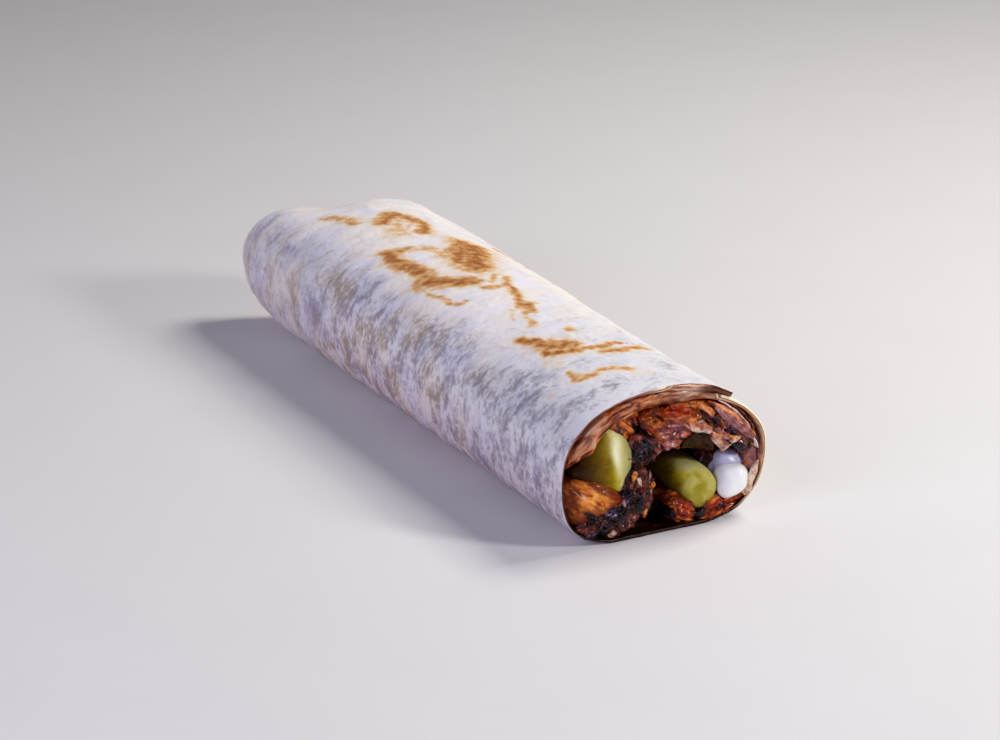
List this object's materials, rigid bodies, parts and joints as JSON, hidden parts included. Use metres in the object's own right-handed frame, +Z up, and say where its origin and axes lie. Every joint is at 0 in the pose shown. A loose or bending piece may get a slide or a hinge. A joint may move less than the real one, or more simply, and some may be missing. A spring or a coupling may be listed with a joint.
{
  "type": "doner kebab wrap",
  "caption": "Thin flatbread rolled round grilled meat, pickle spears and garlic sauce, cut across at one end and folded shut at the other.",
  "frame": {"origin": "middle of the footprint's bounding box, on the surface that the wrap lies on", "axes": "+Y along the roll from its cut end towards its folded end, +Z up, +X to the right when looking at the roll from its cut end"},
  "size_m": [0.0714, 0.2226, 0.0466],
  "materials": {
    "flatbread": "floured toasted flatbread, white with golden brown spots",
    "grilled_meat": "grilled shaved meat, orange-brown and oily",
    "charred_meat": "charred edge of the shaved meat, almost black and glossy",
    "pickle": "wet pickled cucumber, yellow-green",
    "garlic_sauce": "thick white garlic sauce, smooth"
  },
  "bodies": {
    "root": {"flatbread": "flatbread", "pickle_left": "pickle", "pickle_centre": "pickle", "garlic_sauce": "garlic_sauce", "meat_left": "grilled_meat", "meat_charred": "charred_meat", "meat_tucked": "grilled_meat", "meat_middle": "charred_meat", "meat_burnt": "charred_meat", "meat_top": "grilled_meat", "meat_slice_upper": "grilled_meat", "meat_slice_lower": "charred_meat", "meat_red": "grilled_meat", "meat_base_right": "grilled_meat"}
  },
  "joints": []
}
